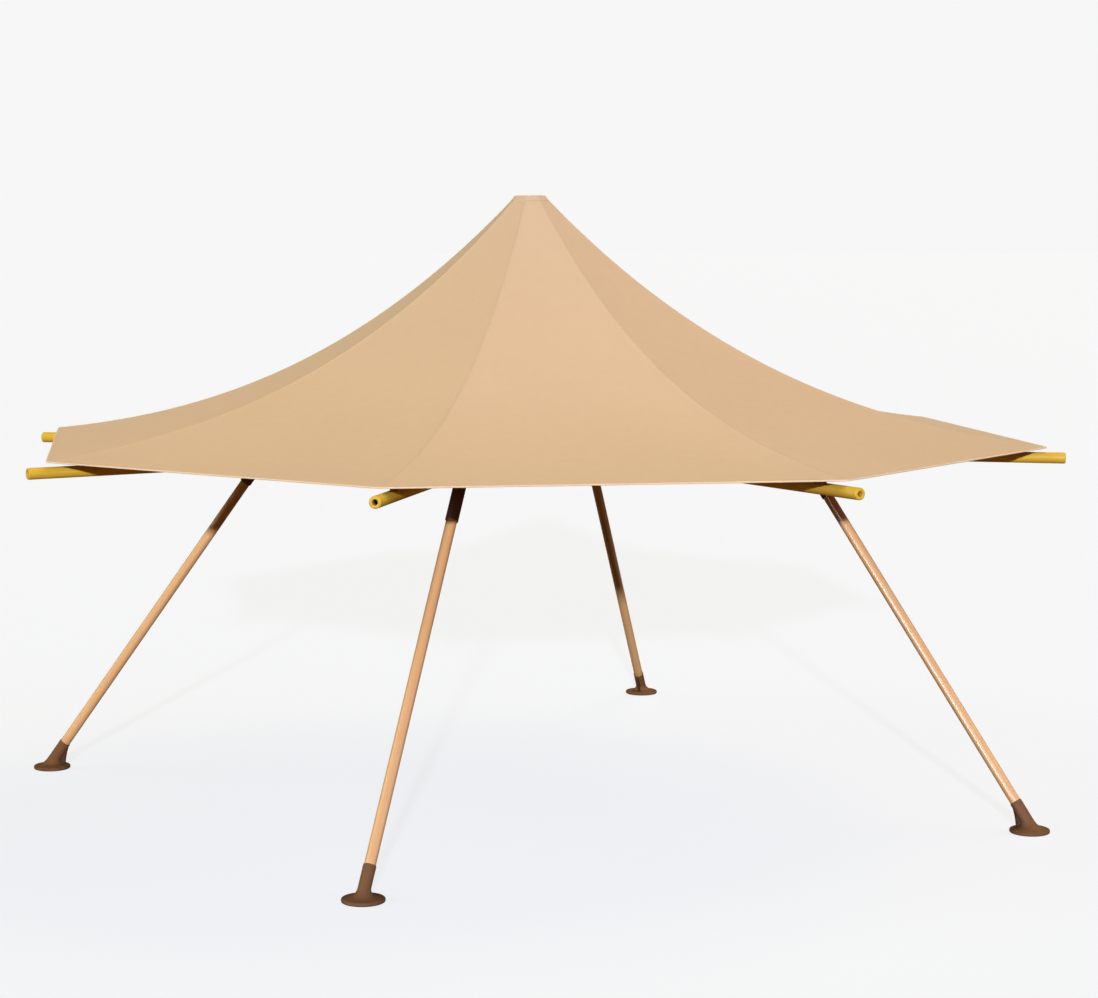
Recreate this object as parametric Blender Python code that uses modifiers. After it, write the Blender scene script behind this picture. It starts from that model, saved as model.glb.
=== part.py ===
"""Open-sided tipi tent: an eight-sided stretched canopy on eight radial tubes and four splayed legs.

Metres, +Z up, standing on z = 0. The origin is on the floor under the peak.
"""
import math

import bmesh
import bpy
from mathutils import Matrix, Vector

NAME = "tipi_tent"
CLEARANCE = 0.0003
SIDES = 8
STEP = math.tau / SIDES
HALF_STEP = STEP / 2

# Canopy: the height of a ridge over the floor falls with its distance r from the middle, as
# RIDGE_LOW + RIDGE_RISE * (1 - r / RIDGE_RUN) ** RIDGE_POWER.
RIDGE_LOW = 2.148
RIDGE_RISE = 1.652
RIDGE_RUN = 4.717
RIDGE_POWER = 3.04
CROWN_R = 0.099
EAVE_R = 3.189
CORNER_CUT = 0.004
FABRIC_T = 0.006
HEM_T = 0.012
HEM_R = 3.145
GORE_SAG = 0.004
GORE_ROWS = 12
GORE_LANES = (-1.0, -0.96, -0.5, 0.0, 0.5, 0.96, 1.0)

# Crown: the flat patch that closes the canopy and the plate under it.
CROWN_PATCH_T = 0.011
CROWN_PATCH_RISE = 0.006
CROWN_PATCH_TOP_R = 0.06
PLATE_R = 0.089
PLATE_T = 0.016
PLATE_NECK_R = 0.034
PLATE_NECK_LENGTH = 0.12

# Roof frame.
TUBE_Z = 2.136
TUBE_R = 0.033
TUBE_TIP = 3.3
TUBE_ROOT = 0.112
TUBE_BORE_R = 0.0155
TUBE_BORE_DEPTH = 0.3
TUBE_LIP = 0.007
HUB_R = 0.15
HUB_HALF = 0.05
HUB_EDGE = 0.014
HUB_NECK_R = 0.042
HUB_NECK_Z = 0.13
HUB_SLEEVE_R = 0.043
HUB_SLEEVE_END = 0.27
POST_R = 0.025
POST_SEAT = 0.03

# Legs: the bearing of the tube that each one carries, how far out it meets that tube, how far out
# its foot stands, and how many degrees the foot has swung aside from the tube.
LEG_R = 0.0315
LEG_PLACES = {
    "leg_1": (0.0, 1.71, 3.23, -11.9),
    "leg_2": (90.0, 1.54, 3.18, -1.6),
    "leg_3": (180.0, 1.70, 3.15, 6.1),
    "leg_4": (270.0, 1.60, 3.03, -3.1),
}
LEG_AIM_Z = 0.045

# Brackets that hang the legs from the tubes, measured from the tube's middle line.
COLLAR_R = 0.044
COLLAR_LENGTH = 0.13
SOCKET_R = 0.0375
SOCKET_END = 0.322
SOCKET_SEAT = 0.078

# Feet. The sleeve is measured along the leg, from the point LEG_AIM_Z over the disc's middle.
DISC_R = 0.117
DISC_RIM_Z = 0.02
DISC_EDGE = 0.009
DISC_CROWN = 0.032
DISC_CROWN_R = 0.06
SLEEVE_R = 0.0355
SLEEVE_END = 0.155
SLEEVE_ROOT = -0.02
SLEEVE_SEAT = 0.012
RIB_T = 0.014
RIB_REACH = 0.088
RIB_TOP = 0.143

# Saddles that carry the canopy's corners on the tubes.
SADDLE_IN = 2.92
SADDLE_OUT = 2.98
SADDLE_HALF_WIDTH = 0.018
SADDLE_WRAP = 0.012

FABRIC = ("fabric", (0.68, 0.47, 0.29, 1.0), 0.85, 0.0)
TUBE_PAINT = ("tube_paint", (0.68, 0.42, 0.05, 1.0), 0.45, 0.0)
LEG_METAL = ("leg_metal", (0.72, 0.37, 0.18, 1.0), 0.4, 0.2)
MOULDING = ("moulding", (0.12, 0.05, 0.025, 1.0), 0.6, 0.0)
STEEL = ("steel", (0.45, 0.45, 0.45, 1.0), 0.4, 1.0)


def clear_scene():
    """Remove every object that the file opened with."""
    for old in list(bpy.data.objects):
        bpy.data.objects.remove(old, do_unlink=True)


def new_collection(name):
    """Add a collection to the scene."""
    collection = bpy.data.collections.new(name)
    bpy.context.scene.collection.children.link(collection)
    return collection


def material_for(node, look):
    """Give one node its own Principled material."""
    slot, colour, roughness, metallic = look
    material = bpy.data.materials.new(f"{node}_{slot}")
    material.use_nodes = True
    shader = material.node_tree.nodes["Principled BSDF"]
    shader.inputs["Base Color"].default_value = colour
    shader.inputs["Roughness"].default_value = roughness
    shader.inputs["Metallic"].default_value = metallic
    material.diffuse_color = colour
    return material


def add_object(name, bm, matrix, look):
    """Turn a bmesh into a named object of the tent, placed by its matrix."""
    mesh = bpy.data.meshes.new(name)
    bm.to_mesh(mesh)
    bm.free()
    obj = bpy.data.objects.new(name, mesh)
    obj.matrix_world = matrix
    PARTS.objects.link(obj)
    mesh.materials.append(material_for(name, look))
    return obj


def add_cutter(name, bm, matrix):
    """Turn a bmesh into a hidden helper for a Boolean."""
    mesh = bpy.data.meshes.new(name)
    bm.to_mesh(mesh)
    bm.free()
    obj = bpy.data.objects.new(name, mesh)
    obj.matrix_world = matrix
    obj.hide_render = True
    obj.display_type = "WIRE"
    CUTTERS.objects.link(obj)
    return obj


def boolean(obj, helper, operation):
    """Join a helper to an object, or cut it out."""
    modifier = obj.modifiers.new(f"{operation.lower()}_{helper.name}", "BOOLEAN")
    modifier.operation = operation
    modifier.solver = "EXACT"
    modifier.object = helper


def cylinder(radius, low, high, segments=32):
    """A closed cylinder on the local Z axis, from low to high."""
    bm = bmesh.new()
    bmesh.ops.create_cone(
        bm,
        cap_ends=True,
        segments=segments,
        radius1=radius,
        radius2=radius,
        depth=high - low,
        matrix=Matrix.Translation((0, 0, (low + high) / 2)),
    )
    return bm


def outline(points):
    """A chain of edges in the local XZ plane."""
    bm = bmesh.new()
    verts = [bm.verts.new((x, 0, z)) for x, z in points]
    for first, second in zip(verts, verts[1:]):
        bm.edges.new((first, second))
    return bm


def turn(obj, steps):
    """Spin an outline around the local Z axis into a closed solid."""
    screw = obj.modifiers.new("turn", "SCREW")
    screw.axis = "Z"
    screw.angle = math.tau
    screw.steps = steps
    screw.render_steps = steps
    screw.use_merge_vertices = True
    screw.merge_threshold = 0.0001


def direction_matrix(start, direction):
    """A frame at start whose Z axis follows the direction."""
    rotation = direction.to_track_quat("Z", "Y").to_matrix().to_4x4()
    return Matrix.Translation(start) @ rotation


def polar(radius, angle, z):
    """A point from its distance and bearing around the peak."""
    return Vector((radius * math.cos(angle), radius * math.sin(angle), z))


def ridge_z(r):
    """Height of the canopy's outer face on a ridge."""
    return RIDGE_LOW + RIDGE_RISE * (1 - r / RIDGE_RUN) ** RIDGE_POWER


def ridge_slope(r):
    """How fast a ridge falls with distance."""
    return RIDGE_RISE * RIDGE_POWER / RIDGE_RUN * (1 - r / RIDGE_RUN) ** (RIDGE_POWER - 1)


def gore_sag(r, across):
    """How far the cloth hangs under the straight line between two ridges."""
    along = (r - CROWN_R) / (EAVE_R - CROWN_R)
    return GORE_SAG * math.sin(math.pi * min(max(along, 0), 1)) * (1 - across * across)


def fabric_drop(r):
    """Upright distance from the outer face to the inner face, thicker at the hem."""
    drop = FABRIC_T * math.hypot(1, ridge_slope(r))
    into_hem = min(max((r - HEM_R) / (EAVE_R - HEM_R), 0), 1)
    return drop + (HEM_T - FABRIC_T) * into_hem


def underside_z(r, across):
    """Height of the canopy's inner face."""
    return ridge_z(r) - gore_sag(r, across) - fabric_drop(r)


def make_gore(index):
    """One of the eight cloth panels between two ridges."""
    bm = bmesh.new()
    lanes = len(GORE_LANES) - 1
    bmesh.ops.create_grid(bm, x_segments=GORE_ROWS, y_segments=lanes, size=0.5)
    bm.verts.ensure_lookup_table()
    rows = sorted({round(v.co.x, 4) for v in bm.verts})
    columns = sorted({round(v.co.y, 4) for v in bm.verts})
    places = {}
    for vert in bm.verts:
        row = rows.index(round(vert.co.x, 4))
        across = GORE_LANES[columns.index(round(vert.co.y, 4))]
        last = len(rows) - 1
        if row == last:
            r = EAVE_R - CORNER_CUT * (abs(across) == 1)
        else:
            r = CROWN_R + (HEM_R - CROWN_R) * row / (last - 1)
        places[vert] = (r, across)
    base = bmesh.ops.extrude_face_region(bm, geom=bm.faces[:], use_keep_orig=True)
    lower = [item for item in base["geom"] if isinstance(item, bmesh.types.BMVert)]
    keys = {(round(v.co.x, 4), round(v.co.y, 4)): spot for v, spot in places.items()}
    spots = {v: (keys[(round(v.co.x, 4), round(v.co.y, 4))], v in lower) for v in bm.verts}
    for vert, ((r, across), inside) in spots.items():
        half_width = r * math.sin(HALF_STEP) - CLEARANCE
        top = ridge_z(r) - gore_sag(r, across)
        z = underside_z(r, across) if inside else top
        vert.co = (r * math.cos(HALF_STEP), across * half_width, z)
    bmesh.ops.recalc_face_normals(bm, faces=bm.faces[:])
    turned = Matrix.Rotation(index * STEP - HALF_STEP, 4, "Z")
    return add_object(f"canopy_gore_{index}", bm, turned, FABRIC)


def make_crown():
    """The flat patch on the peak and the plate that holds it up."""
    rim_z = ridge_z(CROWN_R)
    radius = CROWN_R - 2 * CLEARANCE
    low = rim_z - CROWN_PATCH_T
    points = (
        (0, rim_z + CROWN_PATCH_RISE),
        (CROWN_PATCH_TOP_R, rim_z + CROWN_PATCH_RISE),
        (radius, rim_z),
        (radius, low),
        (0, low),
    )
    patch = add_object("crown_patch", outline(points), Matrix(), FABRIC)
    turn(patch, SIDES)

    top = low - CLEARANCE
    neck_low = top - PLATE_NECK_LENGTH
    points = (
        (0, top),
        (PLATE_R, top),
        (PLATE_R, top - PLATE_T),
        (PLATE_NECK_R, top - 2 * PLATE_T),
        (PLATE_NECK_R, neck_low),
        (0, neck_low),
    )
    plate = add_object("crown_plate", outline(points), Matrix(), MOULDING)
    turn(plate, 32)
    seat = top - 2 * PLATE_T
    bore = cylinder(POST_R + CLEARANCE, neck_low - PLATE_T, seat)
    boolean(plate, add_cutter("crown_plate_bore", bore, Matrix()), "DIFFERENCE")

    low = TUBE_Z + POST_SEAT + CLEARANCE
    add_object("king_post", cylinder(POST_R, low, seat - CLEARANCE), Matrix(), STEEL)


def make_hub():
    """The block in the middle that the eight tubes plug into."""
    points = (
        (0, HUB_NECK_Z),
        (HUB_NECK_R, HUB_NECK_Z),
        (HUB_NECK_R + HUB_EDGE, HUB_HALF),
        (HUB_R - HUB_EDGE, HUB_HALF),
        (HUB_R, HUB_HALF - HUB_EDGE),
        (HUB_R, HUB_EDGE - HUB_HALF),
        (HUB_R - HUB_EDGE, -HUB_HALF),
        (0, -HUB_HALF),
    )
    hub = add_object("centre_hub", outline(points), Matrix.Translation((0, 0, TUBE_Z)), MOULDING)
    turn(hub, 48)
    post = cylinder(POST_R + CLEARANCE, TUBE_Z + POST_SEAT, TUBE_Z + 2 * HUB_NECK_Z)
    boolean(hub, add_cutter("hub_post_bore", post, Matrix()), "DIFFERENCE")
    frames = [direction_matrix(polar(0, 0, TUBE_Z), polar(1, i * STEP, 0)) for i in range(SIDES)]
    for index, frame in enumerate(frames, 1):
        sleeve = cylinder(HUB_SLEEVE_R, TUBE_ROOT, HUB_SLEEVE_END)
        boolean(hub, add_cutter(f"hub_sleeve_{index}", sleeve, frame), "UNION")
    for index, frame in enumerate(frames, 1):
        bore = cylinder(TUBE_R + CLEARANCE, TUBE_ROOT - CLEARANCE, 2 * HUB_SLEEVE_END)
        boolean(hub, add_cutter(f"hub_bore_{index}", bore, frame), "DIFFERENCE")


def make_tube(index, angle):
    """One radial tube, open at its tip."""
    bore_end = TUBE_TIP - TUBE_BORE_DEPTH
    points = (
        (0, bore_end),
        (TUBE_BORE_R, bore_end),
        (TUBE_BORE_R, TUBE_TIP - TUBE_LIP),
        (TUBE_BORE_R + TUBE_LIP / 2, TUBE_TIP - TUBE_LIP / 4),
        (TUBE_R - TUBE_LIP, TUBE_TIP),
        (TUBE_R - TUBE_LIP / 4, TUBE_TIP - TUBE_LIP / 3),
        (TUBE_R, TUBE_TIP - TUBE_LIP),
        (TUBE_R, TUBE_ROOT),
        (0, TUBE_ROOT),
    )
    frame = direction_matrix(polar(0, 0, TUBE_Z), polar(1, angle, 0))
    tube = add_object(f"radial_tube_{index}", outline(points), frame, TUBE_PAINT)
    turn(tube, 32)


def make_saddle(index, angle):
    """The block that carries one corner of the canopy on its tube."""
    bm = bmesh.new()
    bmesh.ops.create_cube(bm, size=1)
    middle = bm.verts[:] + bm.edges[:] + bm.faces[:]
    bmesh.ops.bisect_plane(bm, geom=middle, plane_co=(0, 0, 0), plane_no=(0, 1, 0))
    for vert in bm.verts:
        r = SADDLE_OUT if vert.co.x > 0 else SADDLE_IN
        y = 2 * SADDLE_HALF_WIDTH * vert.co.y
        if vert.co.z > 0:
            along = (r * math.cos(HALF_STEP) + abs(y) * math.sin(HALF_STEP)) / math.cos(HALF_STEP)
            lateral = r * math.sin(HALF_STEP) - abs(y) * math.cos(HALF_STEP)
            across = lateral / (along * math.sin(HALF_STEP))
            z = underside_z(along, across) - 2 * CLEARANCE
        else:
            z = TUBE_Z + SADDLE_WRAP
        vert.co = (r, y, z)
    turned = Matrix.Rotation(angle, 4, "Z")
    saddle = add_object(f"corner_saddle_{index}", bm, turned, MOULDING)
    frame = direction_matrix(polar(0, 0, TUBE_Z), polar(1, angle, 0))
    seat = cylinder(TUBE_R + CLEARANCE, SADDLE_IN - TUBE_R, SADDLE_OUT + TUBE_R)
    boolean(saddle, add_cutter(f"saddle_seat_{index}", seat, frame), "DIFFERENCE")


def make_leg(name, bearing, joint_r, floor_r, swing):
    """A leg with the bracket over it and the foot under it."""
    angle = math.radians(bearing)
    top = polar(joint_r, angle, TUBE_Z)
    foot = polar(floor_r, angle + math.radians(swing), LEG_AIM_Z)
    down = (foot - top).normalized()
    length = (foot - top).length
    leg_frame = direction_matrix(top, down)

    leg = cylinder(LEG_R, SOCKET_SEAT + CLEARANCE, length - SLEEVE_SEAT - CLEARANCE)
    add_object(name, leg, leg_frame, LEG_METAL)

    tube_frame = direction_matrix(top, polar(1, angle, 0))
    collar = cylinder(COLLAR_R, -COLLAR_LENGTH / 2, COLLAR_LENGTH / 2)
    bracket = add_object(f"{name}_bracket", collar, tube_frame, MOULDING)
    socket = add_cutter(f"{name}_socket", cylinder(SOCKET_R, 0, SOCKET_END), leg_frame)
    boolean(bracket, socket, "UNION")
    bore = cylinder(LEG_R + CLEARANCE, SOCKET_SEAT, SOCKET_END + LEG_R)
    boolean(bracket, add_cutter(f"{name}_socket_bore", bore, leg_frame), "DIFFERENCE")
    tube_bore = cylinder(TUBE_R + CLEARANCE, -COLLAR_LENGTH, COLLAR_LENGTH)
    boolean(bracket, add_cutter(f"{name}_collar_bore", tube_bore, tube_frame), "DIFFERENCE")

    make_foot(name, foot, -down)


def make_foot(name, foot, up):
    """A domed floor disc, its sloping sleeve and the rib between them."""
    inward = math.atan2(up.y, up.x)
    lean = math.acos(up.z)
    frame = Matrix.Translation((foot.x, foot.y, 0)) @ Matrix.Rotation(inward, 4, "Z")
    points = (
        (0, DISC_CROWN),
        (DISC_CROWN_R / 2, DISC_CROWN - DISC_EDGE / 4),
        (DISC_CROWN_R, DISC_CROWN - DISC_EDGE / 2),
        (DISC_R - DISC_EDGE, DISC_RIM_Z),
        (DISC_R - DISC_EDGE / 4, DISC_RIM_Z - DISC_EDGE / 4),
        (DISC_R, DISC_RIM_Z - DISC_EDGE),
        (DISC_R - DISC_EDGE / 4, DISC_EDGE / 4),
        (DISC_R - DISC_EDGE, 0),
        (0, 0),
    )
    disc = add_object(f"{name}_foot", outline(points), frame, MOULDING)
    turn(disc, 40)

    axis = frame @ Matrix.Translation((0, 0, LEG_AIM_Z)) @ Matrix.Rotation(lean, 4, "Y")
    sleeve = cylinder(SLEEVE_R, SLEEVE_ROOT, SLEEVE_END)
    boolean(disc, add_cutter(f"{name}_sleeve", sleeve, axis), "UNION")

    tip = Vector((RIB_TOP * math.sin(lean), LEG_AIM_Z + RIB_TOP * math.cos(lean)))
    side = Vector((math.cos(lean), -math.sin(lean))) * (SLEEVE_R - DISC_EDGE / 4)
    corners = (
        (0, DISC_EDGE),
        (RIB_REACH, DISC_EDGE),
        (tip.x + side.x, tip.y + side.y),
        (tip.x, tip.y),
    )
    bm = outline(corners)
    bm.faces.new(bm.verts)
    rib = add_cutter(f"{name}_rib", bm, frame)
    solid = rib.modifiers.new("thickness", "SOLIDIFY")
    solid.thickness = RIB_T
    solid.offset = 0
    boolean(disc, rib, "UNION")

    bore = cylinder(LEG_R + CLEARANCE, SLEEVE_SEAT, SLEEVE_END + LEG_R)
    boolean(disc, add_cutter(f"{name}_sleeve_bore", bore, axis), "DIFFERENCE")


clear_scene()
PARTS = new_collection(NAME)
CUTTERS = new_collection(f"{NAME}_cutters")
for number in range(1, SIDES + 1):
    bearing_of_tube = (number - 1) * STEP
    make_gore(number)
    make_tube(number, bearing_of_tube)
    make_saddle(number, bearing_of_tube)
make_crown()
make_hub()
for leg_name, place in LEG_PLACES.items():
    make_leg(leg_name, *place)
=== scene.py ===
"""Dressed scene of the open-sided tipi tent: canvas, tubes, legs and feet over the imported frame."""
import math

import bmesh
import bpy
from mathutils import Matrix, Vector, noise


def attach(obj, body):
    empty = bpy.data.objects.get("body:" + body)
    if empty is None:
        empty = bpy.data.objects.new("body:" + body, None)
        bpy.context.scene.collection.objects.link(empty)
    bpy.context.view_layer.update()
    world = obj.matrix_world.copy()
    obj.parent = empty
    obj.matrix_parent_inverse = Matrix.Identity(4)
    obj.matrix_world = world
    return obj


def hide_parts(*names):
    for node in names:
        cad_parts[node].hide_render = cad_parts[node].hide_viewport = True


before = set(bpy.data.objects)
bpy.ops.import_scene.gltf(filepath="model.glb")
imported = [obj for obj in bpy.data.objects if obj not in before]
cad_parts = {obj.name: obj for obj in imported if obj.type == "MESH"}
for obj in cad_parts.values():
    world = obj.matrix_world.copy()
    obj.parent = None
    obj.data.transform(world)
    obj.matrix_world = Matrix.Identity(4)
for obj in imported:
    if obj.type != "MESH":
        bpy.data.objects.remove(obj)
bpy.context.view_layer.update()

SIDES = 8
STEP = math.tau / SIDES
HALF_STEP = STEP / 2
BODY = "root"

# Sizes in metres, taken from the solids. The collars are a little slimmer and shorter here, and
# pieces that fit into each other have a fraction of a millimetre of play.
RIDGE_LOW = 2.148
RIDGE_RISE = 1.652
RIDGE_RUN = 4.717
RIDGE_POWER = 3.04
CROWN_R = 0.099
EAVE_R = 3.189
CORNER_CUT = 0.004
GORE_SAG = 0.004
TUBE_Z = 2.136
TUBE_R = 0.033
TUBE_TIP = 3.3
TUBE_ROOT = 0.112
TUBE_BORE_R = 0.0155
LEG_R = 0.0315
LEG_AIM_Z = 0.045
# For each leg: its tube's bearing, how far out it meets the tube, how far out its foot stands,
# and how many degrees the foot has swung aside.
LEG_PLACES = {
    "leg_1": (0.0, 1.71, 3.23, -11.9),
    "leg_2": (90.0, 1.54, 3.18, -1.6),
    "leg_3": (180.0, 1.70, 3.15, 6.1),
    "leg_4": (270.0, 1.60, 3.03, -3.1),
}
COLLAR_R = 0.041
COLLAR_HALF = 0.052
SOCKET_R = 0.0375
SOCKET_SEAT = 0.078
SOCKET_END = 0.322
SLEEVE_R = 0.0355
SLEEVE_END = 0.155
SLEEVE_SEAT = 0.012
HUB_R = 0.15
HUB_HALF = 0.05
HUB_EDGE = 0.014
HUB_NECK_R = 0.042
HUB_NECK_TOP = 0.13
HUB_NECK_FILLET = 0.022
HUB_SLEEVE_R = 0.043
HUB_SLEEVE_LIP_R = 0.0455
HUB_SLEEVE_START = 0.09
HUB_SLEEVE_END = 0.27
POST_R = 0.025
POST_SEAT = 0.0303
PLATE_R = 0.089
PLATE_DROP = 0.0113
PLATE_SOCKET_R = 0.034
PLATE_SOCKET_END = 0.12
DISC_R = 0.117
DISC_RIM_Z = 0.02
DISC_CROWN = 0.032
RIB_T = 0.014
RIB_REACH = 0.088
RIB_TOP = 0.143
SLIDE_GAP = 0.0004

# Cloth.
CLOTH_T = 0.0018
SEAM_HALF = 0.009
SEAM_LIFT = 0.0012
SEAM_FADE = 0.002
HEM_DROP = 0.009
CORNER_WIDTH = 0.04
CORNER_REACH = 0.18
RIPPLE = 0.0015
RIPPLE_SCALE = 1.7
CAP_SKIRT = 0.024
CAP_PROUD = 0.0024
CAP_RISE = 0.01
PATTERN_STEP = 3.0
THREAD_PITCH = 0.0022
STITCH_PITCH = 0.007
STITCH_HALF = 0.0006
RIDGE_STITCH_AT = 0.0065
HEM_STITCH_AT = 0.036
HEM_FOLD = 0.037

# How finely the pieces are divided.
GORE_ROWS = 72
GORE_LANES = 9
ROUND_COUNT = 64
WIDE_ROUND_COUNT = 96
FOOT_COUNT = 72
LENGTH_STEPS = 12
TINY = 1e-6

# Camera and light, from the photograph.
CAMERA_AT = (3.781, -15.491, 3.526)
CAMERA_TURN = (83.851, 0.0, 13.293)
LENS_MM = 83.49
WORLD_LIGHT = 0.11
WORLD_COLOUR = (1.0, 0.42, 0.14, 1.0)
# Each light's name, bearing, elevation, strength, width and colour, with angles in degrees.
LIGHTS = (
    ("key", 283, 14.3, 2.65, 1.5, (0.985, 1.005, 1.135)),
    ("fill_back", 60, 52, 1.42, 40, (1.0, 0.78, 0.33)),
    ("side_left", 192, 30, 0.95, 40, (1.0, 1.14, 0.9)),
    ("side_right", 5, 27, 0.42, 40, (1.0, 1.35, 2.0)),
)
# Warm light from the ground grows between two distances from the middle.
BOUNCE_LIGHT = 0.18
BOUNCE_COLOUR = (1.0, 0.52, 0.2, 1.0)
BOUNCE_FROM = 3.0
BOUNCE_FULL = 4.2
# The floor glows as brightly as the backdrop, so its shadows stay faint.
BACKDROP_LIGHT = 0.93
FLOOR_TONE = (0.105, 0.123, 0.15, 1.0)
FLOOR_LIGHT = (0.7935, 0.7975, 0.8105, 1.0)
# The narrow light for the right leg's gloss: where it aims, where it stands and how wide it is.
GLINT_AIM = (2.45, -0.34, 1.0)
GLINT_BEARING = 241
GLINT_RISE = 9
GLINT_AWAY = 12.0
GLINT_POWER = 27000
GLINT_SIZE = 2.2
GLINT_CONE = 11.5
# How far the stage reaches.
FLOOR_HALF = 330
BACKDROP_R = 320
BOUNCE_HALF = 60


# Helpers.


def polar(radius, angle, z):
    """A point from its distance and bearing around the peak."""
    return Vector((radius * math.cos(angle), radius * math.sin(angle), z))


def smooth(value):
    """A 0 to 1 ramp with soft ends."""
    t = min(max(value, 0.0), 1.0)
    return t * t * (3 - 2 * t)


def direction_matrix(start, direction):
    """A frame at start whose Z axis follows the direction."""
    rotation = direction.to_track_quat("Z", "Y").to_matrix().to_4x4()
    return Matrix.Translation(start) @ rotation


def add_piece(name, bm, material, nodes=(), matrix=None):
    """Turn a bmesh into a piece that rides on the tent and replaces its nodes."""
    mesh = bpy.data.meshes.new(name)
    bm.to_mesh(mesh)
    bm.free()
    for polygon in mesh.polygons:
        polygon.use_smooth = True
    obj = bpy.data.objects.new(name, mesh)
    bpy.context.scene.collection.objects.link(obj)
    if matrix is not None:
        obj.matrix_world = matrix
    mesh.materials.append(material)
    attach(obj, BODY)
    if nodes:
        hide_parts(*nodes)
    return obj


def thicken(obj):
    """Give a sheet the thickness of the cloth, inwards."""
    solid = obj.modifiers.new("cloth_thickness", "SOLIDIFY")
    solid.thickness = CLOTH_T
    solid.offset = -1


def face_outwards(bm):
    """Turn all faces outwards."""
    bmesh.ops.recalc_face_normals(bm, faces=bm.faces[:])


def rings_to_faces(bm, rings):
    """Join closed rings of vertices with quads."""
    for low, high in zip(rings, rings[1:]):
        count = len(low)
        for i in range(count):
            j = (i + 1) % count
            bm.faces.new((low[i], low[j], high[j], high[i]))


def cap_ring(bm, ring, centre):
    """Close a ring with a fan to its centre."""
    hub = bm.verts.new(centre)
    for i, vert in enumerate(ring):
        bm.faces.new((vert, ring[(i + 1) % len(ring)], hub))


def lathe(bm, profile, segments, matrix=None):
    """Spin (radius, height) points around Z; a first or last point on the axis closes the shape."""
    placed = Matrix() if matrix is None else matrix
    rings = []
    ends = []
    for radius, z in profile:
        if radius < TINY:
            ends.append(placed @ Vector((0, 0, z)))
            continue
        ring = []
        for i in range(segments):
            angle = math.tau * i / segments
            point = Vector((radius * math.cos(angle), radius * math.sin(angle), z))
            ring.append(bm.verts.new(placed @ point))
        rings.append(ring)
    rings_to_faces(bm, rings)
    if profile[0][0] < TINY:
        cap_ring(bm, rings[0], ends[0])
    if profile[-1][0] < TINY:
        cap_ring(bm, rings[-1], ends[-1])


def arc(centre, radius, start, end, steps):
    """Points of a fillet in a profile, angles in degrees."""
    points = []
    for i in range(steps + 1):
        angle = math.radians(start + (end - start) * i / steps)
        x = centre[0] + radius * math.cos(angle)
        y = centre[1] + radius * math.sin(angle)
        points.append((x, y))
    return points


# Materials.


class Nodes:
    """Short calls for building one procedural material."""

    def __init__(self, name):
        self.material = bpy.data.materials.new(name)
        self.material.use_nodes = True
        self.tree = self.material.node_tree
        self.shader = self.tree.nodes["Principled BSDF"]

    def node(self, kind, **settings):
        """Add a node and set its properties."""
        made = self.tree.nodes.new(kind)
        for key, value in settings.items():
            setattr(made, key, value)
        return made

    def link(self, source, target):
        """Wire an output to an input."""
        self.tree.links.new(source, target)

    def feed(self, socket, value):
        """Wire an output into an input, or set the input to a value."""
        if isinstance(value, bpy.types.NodeSocket):
            self.link(value, socket)
        else:
            socket.default_value = value

    def maths(self, operation, *values):
        """A Math node on sockets or numbers."""
        made = self.node("ShaderNodeMath", operation=operation)
        for socket, value in zip(made.inputs, values):
            self.feed(socket, value)
        return made.outputs[0]

    def parts(self, vector):
        """The three parts of a vector."""
        made = self.node("ShaderNodeSeparateXYZ")
        self.link(vector, made.inputs[0])
        return made.outputs

    def from_axis(self, place):
        """Distance from the Z axis of the object's own frame."""
        across = self.maths("MULTIPLY", place[0], place[0])
        squared = self.maths("MULTIPLY_ADD", place[1], place[1], across)
        return self.maths("SQRT", squared)

    def coords(self, kind="Object", scale=(1, 1, 1)):
        """Texture coordinates with a scale."""
        source = self.node("ShaderNodeTexCoord")
        mapping = self.node("ShaderNodeMapping")
        mapping.inputs["Scale"].default_value = scale
        self.link(source.outputs[kind], mapping.inputs["Vector"])
        return mapping.outputs["Vector"]

    def noise(self, vector, scale, detail=3.0, rough=0.5):
        """Noise between 0 and 1."""
        made = self.node("ShaderNodeTexNoise")
        made.inputs["Scale"].default_value = scale
        made.inputs["Detail"].default_value = detail
        made.inputs["Roughness"].default_value = rough
        self.link(vector, made.inputs["Vector"])
        return made.outputs["Fac"]

    def spread(self, value, low, high, to_low=0.0, to_high=1.0):
        """Map a range onto another, clamped."""
        made = self.node("ShaderNodeMapRange")
        self.link(value, made.inputs["Value"])
        made.inputs["From Min"].default_value = low
        made.inputs["From Max"].default_value = high
        made.inputs["To Min"].default_value = to_low
        made.inputs["To Max"].default_value = to_high
        return made.outputs["Result"]

    def mix(self, factor, first, second):
        """Mix two colours, each a socket or four numbers."""
        made = self.node("ShaderNodeMix", data_type="RGBA")
        self.feed(made.inputs[0], factor)
        self.feed(made.inputs[6], first)
        self.feed(made.inputs[7], second)
        return made.outputs[2]

    def bump(self, height, strength, distance, under=None):
        """A bump on top of another one."""
        made = self.node("ShaderNodeBump")
        made.inputs["Strength"].default_value = strength
        made.inputs["Distance"].default_value = distance
        self.link(height, made.inputs["Height"])
        if under is not None:
            self.link(under, made.inputs["Normal"])
        return made.outputs["Normal"]

    def finish(self, colour, roughness, normal=None, **constants):
        """Wire the shader; the constants are set on its own sockets."""
        self.link(colour, self.shader.inputs["Base Color"])
        self.feed(self.shader.inputs["Roughness"], roughness)
        if normal is not None:
            self.link(normal, self.shader.inputs["Normal"])
        for key, value in constants.items():
            self.shader.inputs[key.replace("_", " ")].default_value = value
        return self.material


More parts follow.
